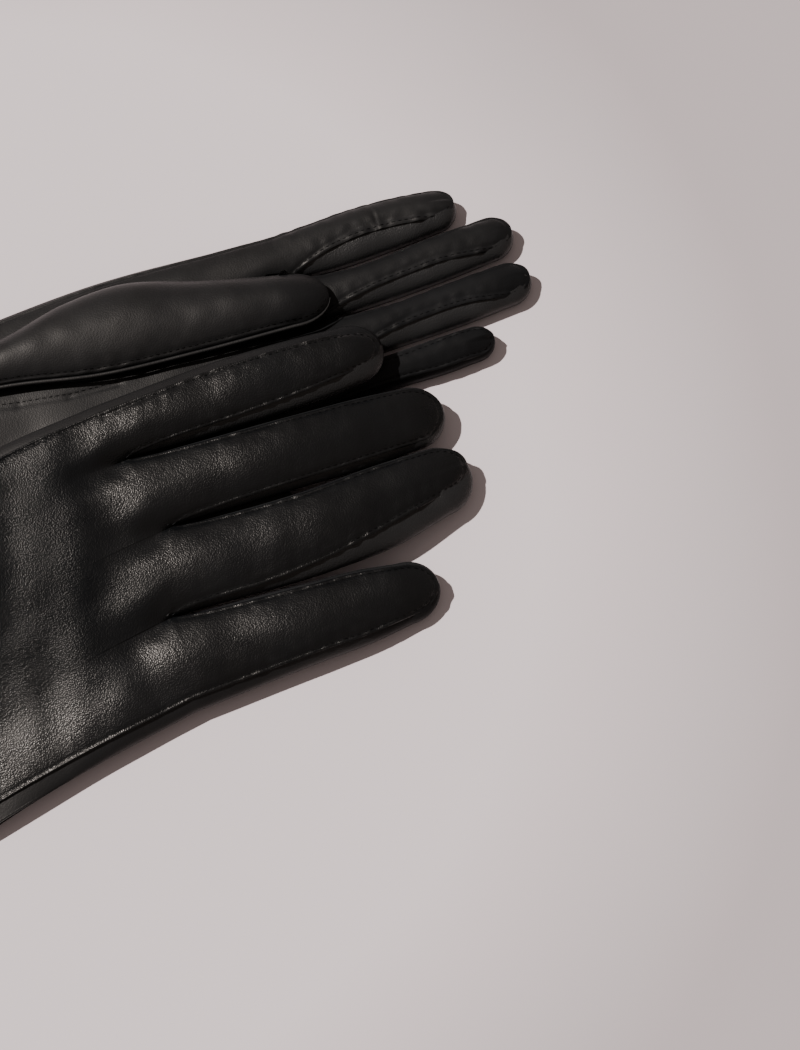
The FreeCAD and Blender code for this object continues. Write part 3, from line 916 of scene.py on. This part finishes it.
def build_thumb(glove):
    form, grids = thumb_grids(glove)
    base, tube = zip(*(cut_shells(*grid, drop) for grid, drop in zip(grids, (0.0, 0.0, LAP_DROP))))
    add_piece(glove, "hand", "thumb_base_leather", base, PALM_LEATHER_PAINTED_SHEEN, replaced="thumb_base")
    add_piece(glove, "thumb", "thumb_leather", tube, PALM_LEATHER_PAINTED_SHEEN, replaced="thumb")
    strip, _, cut = grids[2]
    lip = strip[:, LIP_COLUMN]
    outward = lip - strip[:, 0]
    outward[:, 2] = 0
    outward = unit(outward)
    lip = lip + outward * LIP_OFFSET
    start = max(row_at(to_local(form["finger"], lip[:, :2])[:, 0], LIP_START), 2)
    for first, last, part, name in ((start, cut, "hand", "thumb_base_rolled_seam"),
                                    (cut, len(lip) - 1, "thumb", "thumb_rolled_seam")):
        rows = slice(first, last + 1, 2)
        add_piece(glove, part, name, [roll_skin(lip[rows], outward[rows], part == "thumb")], ROLLED_LEATHER_PAINTED_HIGHLIGHT)
    lining = [lining_shell(grid, flip, cut, len(grid) - 1) for grid, flip, cut in grids[:2]]
    add_piece(glove, "thumb", "thumb_lining_knit", lining, LINING_CLOTH, "thumb_lining")
    grid, flip, _ = grids[0]
    edge = np.concatenate([grid[8:, 0], grid[-1][1:COLUMNS // 2]])[:, :2]
    split_stitches(glove, "thumb", stitch_places(edge, *grid_faces(grid, flip), glove["palm_up"], 77,
                                                 level(STITCH_INSET)))


# ---------------------------------------------------------------- stitches

STITCHES = {}              # places of stitches, by glove and part
STITCH_SIDES = 6
STITCH_RINGS = (-1.0, -0.85, -0.45, 0.0, 0.45, 0.85, 1.0)
LINE_STEP = 0.5            # between the points at which a line of stitches is worked out
SMOOTHING = 7              # points over which its direction is evened out
ABOVE = 60.0               # a height well clear of the gloves


def stitch_places(line, points, faces, upward, seed, inset):
    """Places stitches along a panel's cut edge: centre, direction and surface normal of each.

    The line runs with the panel on its left. Upward tells which face of the glove it is on.
    """
    rng = np.random.default_rng(seed)
    line = line[np.concatenate([[True], np.diff(lengths(line)) > 1e-4])]
    length = lengths(line)
    fine = np.arange(0, length[-1], LINE_STEP)
    dense = np.stack([np.interp(fine, length, line[:, c]) for c in (0, 1)], -1)
    reach = SMOOTHING // 2
    padded = np.pad(np.gradient(dense, axis=0), ((reach, reach), (0, 0)), mode="edge")
    kernel = np.ones(SMOOTHING) / SMOOTHING
    tangent = unit(np.stack([np.convolve(padded[:, c], kernel, mode="valid") for c in (0, 1)], -1))
    moved = dense + np.stack([-tangent[:, 1], tangent[:, 0]], -1) * inset(fine)[:, None]
    arc = lengths(moved)
    centres = np.arange(0.6, arc[-1] - 0.4, STITCH_PITCH)
    centres = centres + rng.uniform(-0.12, 0.12, len(centres))
    tree = BVHTree.FromPolygons(points.tolist(), faces.tolist())
    direction = Vector((0, 0, -1 if upward else 1))

    def drop(at):
        """The surface's point and normal under a place along the line."""
        x, y = np.interp(at, arc, moved[:, 0]), np.interp(at, arc, moved[:, 1])
        return tree.ray_cast(Vector((x, y, ABOVE if upward else -ABOVE)), direction)[:2]

    places = []
    for centre in centres:
        middle, normal = drop(centre)
        ahead, behind = (drop(centre + away)[0] for away in (0.5 * STITCH_LENGTH, -0.5 * STITCH_LENGTH))
        if middle is None or ahead is None or behind is None:
            continue
        if normal.z * direction.z > 0:
            normal = -normal
        places.append((*middle, *(ahead - behind).normalized(), *normal))
    return np.array(places)


def stitch_mesh(places, seed):
    """Small plump stitches, a closed skin each, given their centres, directions and normals."""
    rng = np.random.default_rng(seed)
    centre, along, normal = places[:, :3], places[:, 3:6], places[:, 6:]
    across = unit(np.cross(normal, along))
    normal = np.cross(along, across)
    along = along + across * rng.uniform(-0.10, 0.10, len(places))[:, None]
    size = STITCH_RADIUS * rng.uniform(0.9, 1.1, len(places))
    points, normals = [], []
    for u in STITCH_RINGS:
        swell = math.sqrt(max(1 - u ** 4, 0.06))
        lift = 0.05 * (1 - u ** 4) - 0.14 * u ** 4
        for k in range(STITCH_SIDES):
            angle = 2 * math.pi * k / STITCH_SIDES
            out = across * math.cos(angle) + normal * math.sin(angle)
            points.append(centre + along * (0.5 * STITCH_LENGTH * u) + normal * lift
                          + out * (size * swell)[:, None])
            normals.append(out)
    points, normals = np.stack(points, 1), np.stack(normals, 1)
    starts = np.arange(len(places)) * points.shape[1]
    faces = (tube_faces(len(STITCH_RINGS), STITCH_SIDES)[None] + starts[:, None, None]).reshape(-1, 4)
    return points.reshape(-1, 3), faces, normals.reshape(-1, 3)[faces].reshape(-1, 3)


def split_stitches(glove, part, places):
    """Shares stitches between the hand and a finger, at the finger's cut."""
    if not len(places):
        return
    finger = glove[part]
    a = to_local(finger, places[:, :2])[:, 0]
    for key, mask in (("hand", a < finger["cut"]), (part, a >= finger["cut"])):
        if mask.any():
            STITCHES.setdefault((glove["side"], key), []).append(places[mask])


def seam_stitches(glove, comb):
    """Stitches along the edges of one face's panels, closer to the edge where a slit starts."""
    for i, name in enumerate(UPWARDS):
        grid = comb.grids[name]
        from_cuff = {"little": 0, "index": 1}.get(name)
        low = grid[CUFF_ROWS if from_cuff == 0 else HAND_ROWS:, 0]
        high = grid[CUFF_ROWS if from_cuff == 1 else HAND_ROWS:, -1][::-1]
        line = np.concatenate([low, grid[-1][1:-1], high])[:, :2]
        if comb.top and glove["palm_up"] and name != "little":
            line = np.concatenate([low, grid[-1][1:COLUMNS // 3]])[:, :2]
        total = lengths(line)[-1]

        def inset(d):
            value = STITCH_INSET + 0 * d
            for is_slit, away in ((from_cuff != 0, d), (from_cuff != 1, total - d)):
                if is_slit:
                    value = value - 0.75 * (1 - ease(away, 0, 6))
            return value
        seed = i + (10 if comb.top else 20) + (40 if glove["palm_up"] else 0)
        split_stitches(glove, name, stitch_places(line, comb.points, comb.faces, comb.top, seed, inset))


def build_stitching(glove):
    for part in ("hand", "thumb") + FINGERS:
        places = STITCHES.get((glove["side"], part))
        if places:
            shells = [stitch_mesh(np.concatenate(places), 5)]
            add_piece(glove, part, part + "_stitching", shells, THREAD)


# ---------------------------------------------------------------- the two gloves

def comb_part(comb, mask):
    return shell(comb.points, comb.faces[mask], vertex_normals(comb.points, comb.faces), 0.0, LEATHER)


def side_strips(glove):
    """All the side strips of a glove: (finger, is the index side, is an outer side, hand, finger skin)."""
    t = np.linspace(0, 1, HAND_ROWS + 1)
    strips = []
    for name in UPWARDS:
        form = finger_form(glove, name)
        low, high, tip = insets(glove, name, True)
        for is_high, inset, is_open, k in ((False, low, form["open_low"], 0),
                                           (True, high, form["open_high"], 4)):
            hand_part = hand_border(glove, k, t) if is_open else None
            grid, cut = side_strip(glove, form, name, is_high, hand_part, (inset, tip))
            strips.append((name, is_high, is_open, *cut_shells(grid, not is_high, cut, LAP_DROP)))
    return strips


def leather_panels(glove, top, bottom):
    """The shells of each upper and lower panel, by the name of its CAD node without the side."""
    up, down = ("palm", "back") if glove["palm_up"] else ("back", "palm")
    panels = {}
    for comb, face in ((top, up), (bottom, down)):
        for part in ("hand",) + FINGERS:
            mask = comb.labels == (-1 if part == "hand" else UPWARDS.index(part))
            if part == "index" and face == "palm":
                panels["index_tip_panel"] = [comb_part(comb, mask & comb.beyond_tip_seam)]
                mask = mask & ~comb.beyond_tip_seam
            panels[part + "_" + face] = [comb_part(comb, mask)]
    return panels


def build_linings(glove, top, bottom):
    """The cuff's turned hem, and the lining of the hand and of each finger."""
    hem, lining = [], []
    for comb in (top, bottom):
        for name in UPWARDS:
            grid = comb.grids[name]
            row_length = np.linalg.norm(grid[1, COLUMNS // 2] - grid[0, COLUMNS // 2])
            hem_rows = int(round(HEM_DEPTH / row_length))
            hem.append(grid_shell(grid, not comb.top, (0, hem_rows), HEM_OFFSET, LEATHER))
            lining.append(lining_shell(grid, not comb.top, hem_rows - 2, comb.cuts[name]))
    add_piece(glove, "hand", "cuff_hem_leather", hem, BLACK_LEATHER, replaced="cuff_hem")
    add_piece(glove, "hand", "hand_lining_knit", lining, LINING_CLOTH, "hand_lining")
    for name in FINGERS:
        shells = [lining_shell(comb.grids[name], not comb.top, comb.cuts[name],
                               len(comb.grids[name]) - LINING_SHORT_ROWS) for comb in (top, bottom)]
        add_piece(glove, name, name + "_lining_knit", shells, LINING_CLOTH, name + "_lining")


def build_glove(glove):
    top, bottom = Comb(glove, True), Comb(glove, False)
    panels = leather_panels(glove, top, bottom)
    between, webs = {}, {}
    for name, is_high, is_open, hand, finger in side_strips(glove):
        if is_open:
            panels["hand_palm"].append(hand)
            panels[name + "_palm"].append(finger)
        else:
            between.setdefault(name, []).append(finger)
            webs.setdefault(UPWARDS.index(name) + (1 if is_high else 0), []).append(hand)
    materials = {"panel": TOUCH_LEATHER, "palm": PALM_LEATHER_PAINTED_SHEEN, "back": BLACK_LEATHER}
    for node, shells in panels.items():
        part, kind = node.split("_")[0], node.split("_")[-1]
        add_piece(glove, part, node + "_leather", shells, materials[kind], node)
    for part, shells in between.items():
        node = part + ("_fourchettes" if len(shells) == 2 else "_fourchette")
        add_piece(glove, part, node + "_leather", shells, STRIP_LEATHER_PAINTED_FILL, replaced=node)
    for i, shells in webs.items():
        node = UPWARDS[i] + "_" + UPWARDS[i - 1] + "_fourchette"
        add_piece(glove, "hand", node + "_leather", shells, STRIP_LEATHER_PAINTED_FILL, replaced=node)
    build_linings(glove, top, bottom)
    seam_stitches(glove, top)
    seam_stitches(glove, bottom)
    if glove["palm_up"]:
        line = np.array(THUMB_SEAM, float)
        places = stitch_places(line, top.points, top.faces, True, 91, level(SEAM_INSET))
        STITCHES.setdefault((glove["side"], "hand"), []).append(places)


for pair_glove in (LEFT, RIGHT):
    build_glove(pair_glove)
    build_thumb(pair_glove)
    build_stitching(pair_glove)


# ---------------------------------------------------------------- floor, light and camera

def pale_surface():
    """A matt pale surface with painted light falloff: its colour is a little darker away from the middle of
    the light.
    """
    use = Shading("pale_surface")
    place = use.node("ShaderNodeTexCoord").outputs["Object"]
    away = use.node("ShaderNodeVectorMath", {0: place, 1: (-0.05, 0.02, 0.0)}, operation="DISTANCE")
    reach = use.plus(away.outputs["Value"], use.noise(place, 7.0, 2.0), 0.02)
    # Painted light falloff: the colour darkens with distance from the middle of the light.
    painted_falloff = use.ramp(reach, (0.72, 0.643, 0.657), (0.46, 0.408, 0.416), 0.19, 0.275)
    return use.finished(Base_Color=painted_falloff, Roughness=0.8)


def floor():
    mesh = bpy.data.meshes.new("floor")
    half = 3.0
    corners = [(-half, -half, 0), (half, -half, 0), (half, half, 0), (-half, half, 0)]
    mesh.from_pydata(corners, [], [(0, 1, 2, 3)])
    mesh.materials.append(pale_surface())
    piece = bpy.data.objects.new("floor", mesh)
    bpy.context.scene.collection.objects.link(piece)


def aim(thing, position, target):
    thing.location = position
    thing.rotation_euler = (Vector(target) - Vector(position)).to_track_quat("-Z", "Y").to_euler()


def lights(target):
    key = bpy.data.lights.new("key", "SUN")
    key.energy = 5.6
    key.color = (1.0, 0.95, 0.93)
    key.angle = math.radians(1.2)
    key_object = bpy.data.objects.new("key", key)
    bpy.context.scene.collection.objects.link(key_object)
    toward = Vector((10.2, -7.4, -16.2))
    aim(key_object, target - toward.normalized() * 1.5, target)
    world = bpy.data.worlds.new("studio")
    bpy.context.scene.world = world
    world.use_nodes = True
    background = world.node_tree.nodes["Background"]
    background.inputs["Color"].default_value = (1.0, 0.86, 0.80, 1)
    background.inputs["Strength"].default_value = 0.24


def camera(target):
    elevation, azimuth, distance = math.radians(72), math.radians(-20), 0.7
    back = Vector((math.sin(azimuth) * math.cos(elevation), -math.cos(azimuth) * math.cos(elevation),
                   math.sin(elevation)))
    data = bpy.data.cameras.new("camera")
    data.sensor_fit = "VERTICAL"
    data.sensor_height = 36.0
    data.lens = 76.8
    thing = bpy.data.objects.new("camera", data)
    bpy.context.scene.collection.objects.link(thing)
    aim(thing, target + back * distance, target)
    bpy.context.scene.camera = thing


LOOK_AT = Vector((SHIFT_X * MM, SHIFT_Y * MM, 0.0))
floor()
lights(LOOK_AT)
camera(LOOK_AT)
